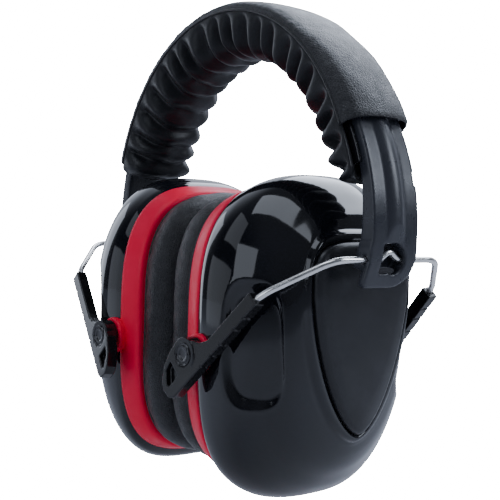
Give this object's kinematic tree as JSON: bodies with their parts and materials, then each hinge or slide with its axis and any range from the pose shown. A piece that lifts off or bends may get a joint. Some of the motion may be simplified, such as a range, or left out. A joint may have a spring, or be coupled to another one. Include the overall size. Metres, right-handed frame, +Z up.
{
  "type": "earmuff hearing protector",
  "caption": "Over-the-head earmuff hearing protector: padded arch, sliding arms, wire bails and tilting cups with red rims and soft ear cushions.",
  "frame": {"origin": "crown rest: the lowest point of the head pad's inner face at the top of the arch, on both planes of symmetry of the arch", "axes": "+X towards the wearer's left cup, -Y towards the wearer's front, +Z up along the wearer's head"},
  "size_m": [0.1654, 0.104, 0.1863],
  "materials": {
    "band_plastic": "smooth black",
    "strip_steel": "bare steel",
    "rivet_steel": "bare steel",
    "guide_steel": "bare steel",
    "pad_leather": "soft grained leatherette over foam",
    "cover_leather": "fine grain, satin",
    "arm_plastic": "satin black",
    "bail_steel": "polished",
    "lever_plastic": "gloss black",
    "pin_plastic": "gloss black",
    "ring_plastic": "semi-gloss red",
    "shell_plastic": "high gloss black",
    "panel_plastic": "satin black",
    "foam": "open-cell foam",
    "plate_plastic": "matt black",
    "cushion_leather": "fine grain, soft"
  },
  "bodies": {
    "headband": {"inner_band": "band_plastic", "spring_strip": "strip_steel", "band_rivets": "rivet_steel", "left_arm_guide": "guide_steel", "right_arm_guide": "guide_steel", "crown_foam": "foam", "outer_cover": "cover_leather", "head_pad": "pad_leather"},
    "left_arm": {"left_arm": "arm_plastic"},
    "left_bail": {"left_bail_wire": "bail_steel", "left_front_lever": "lever_plastic", "left_rear_lever": "lever_plastic", "left_lever_pins": "pin_plastic"},
    "left_cup": {"left_rim_ring": "ring_plastic", "left_cup_shell": "shell_plastic", "left_shell_panel": "panel_plastic", "left_foam_insert": "foam", "left_foam_disc": "foam", "left_cushion_plate": "plate_plastic", "left_cushion_cover": "cushion_leather", "left_cushion_foam": "foam"},
    "right_arm": {"right_arm": "arm_plastic"},
    "right_bail": {"right_bail_wire": "bail_steel", "right_front_lever": "lever_plastic", "right_rear_lever": "lever_plastic", "right_lever_pins": "pin_plastic"},
    "right_cup": {"right_rim_ring": "ring_plastic", "right_cup_shell": "shell_plastic", "right_shell_panel": "panel_plastic", "right_foam_insert": "foam", "right_foam_disc": "foam", "right_cushion_plate": "plate_plastic", "right_cushion_cover": "cushion_leather", "right_cushion_foam": "foam"}
  },
  "joints": [
    {"name": "left_arm_slide", "type": "hinge", "parent": "headband", "child": "left_arm", "pos_m": [0, 0, -0.066], "axis": [0, -1, 0], "range_deg": [0, 12]},
    {"name": "left_bail_pivot", "type": "hinge", "parent": "left_arm", "child": "left_bail", "pos_m": [0.07782, 0, -0.07555], "axis": [0, -1, 0], "range_deg": [0, 28]},
    {"name": "left_cup_tilt", "type": "hinge", "parent": "left_bail", "child": "left_cup", "pos_m": [0.0292, 0, -0.1106], "axis": [0, -1, 0], "range_deg": [-3.5, 2.5]},
    {"name": "right_arm_slide", "type": "hinge", "parent": "headband", "child": "right_arm", "pos_m": [0, 0, -0.066], "axis": [0, 1, 0], "range_deg": [0, 12]},
    {"name": "right_bail_pivot", "type": "hinge", "parent": "right_arm", "child": "right_bail", "pos_m": [-0.07782, 0, -0.07555], "axis": [0, 1, 0], "range_deg": [0, 28]},
    {"name": "right_cup_tilt", "type": "hinge", "parent": "right_bail", "child": "right_cup", "pos_m": [-0.0292, 0, -0.1106], "axis": [0, -1, 0], "range_deg": [-2.5, 3.5]}
  ]
}
